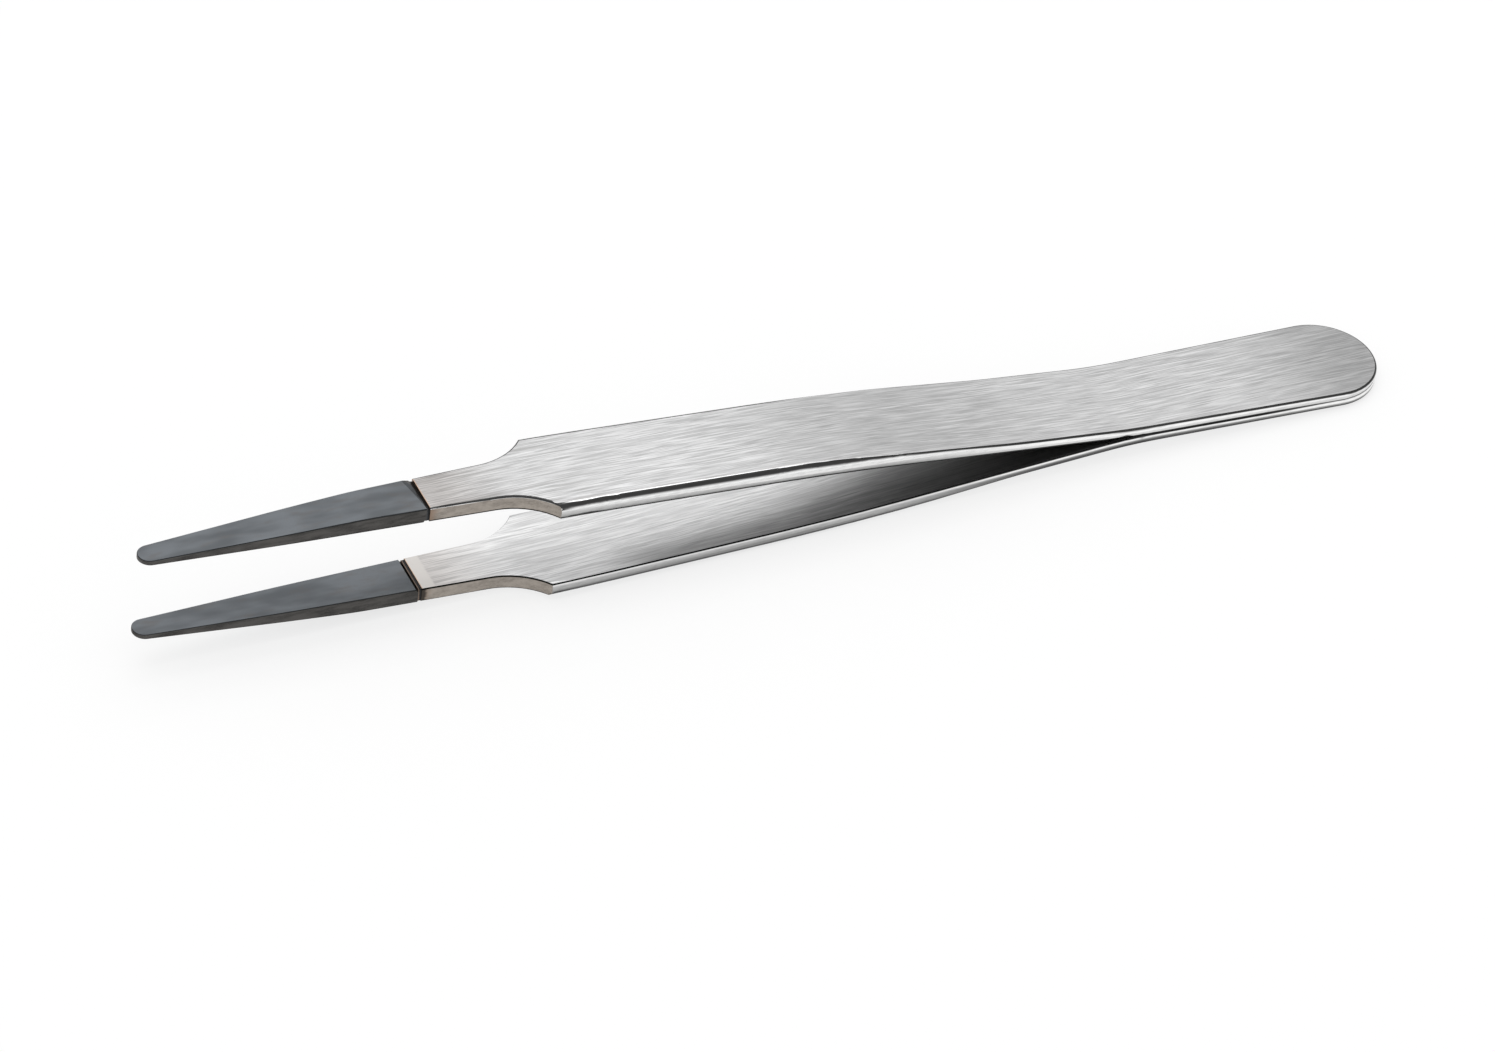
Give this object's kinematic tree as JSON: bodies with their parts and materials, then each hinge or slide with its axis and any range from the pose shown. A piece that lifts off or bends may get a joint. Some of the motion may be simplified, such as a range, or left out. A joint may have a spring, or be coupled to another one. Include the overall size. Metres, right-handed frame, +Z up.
{
  "type": "diamond-coated tweezers",
  "caption": "Straight flat-tipped tweezers: sprung steel arms welded at the rear, a necked shoulder, and brazed, diamond-coated round-nosed tips for wafers and other delicate plates.",
  "frame": {"origin": "middle of the footprint, on the table that the lower arm lies on", "axes": "+X along the tweezers towards the welded rear end, tips towards -X; +Y across the width; +Z up"},
  "size_m": [0.12, 0.0104, 0.0121],
  "materials": {
    "steel": "brushed lengthwise on the faces, polished on the rolled edges",
    "coated_tip": "satin dark blue-grey, a fine diamond coating on hard metal",
    "braze": "dark, copper-coloured where it meets the steel"
  },
  "bodies": {
    "root": {"upper_arm": "steel", "lower_arm": "steel", "upper_tip": "coated_tip", "lower_tip": "coated_tip", "upper_braze": "braze", "lower_braze": "braze"}
  },
  "joints": []
}
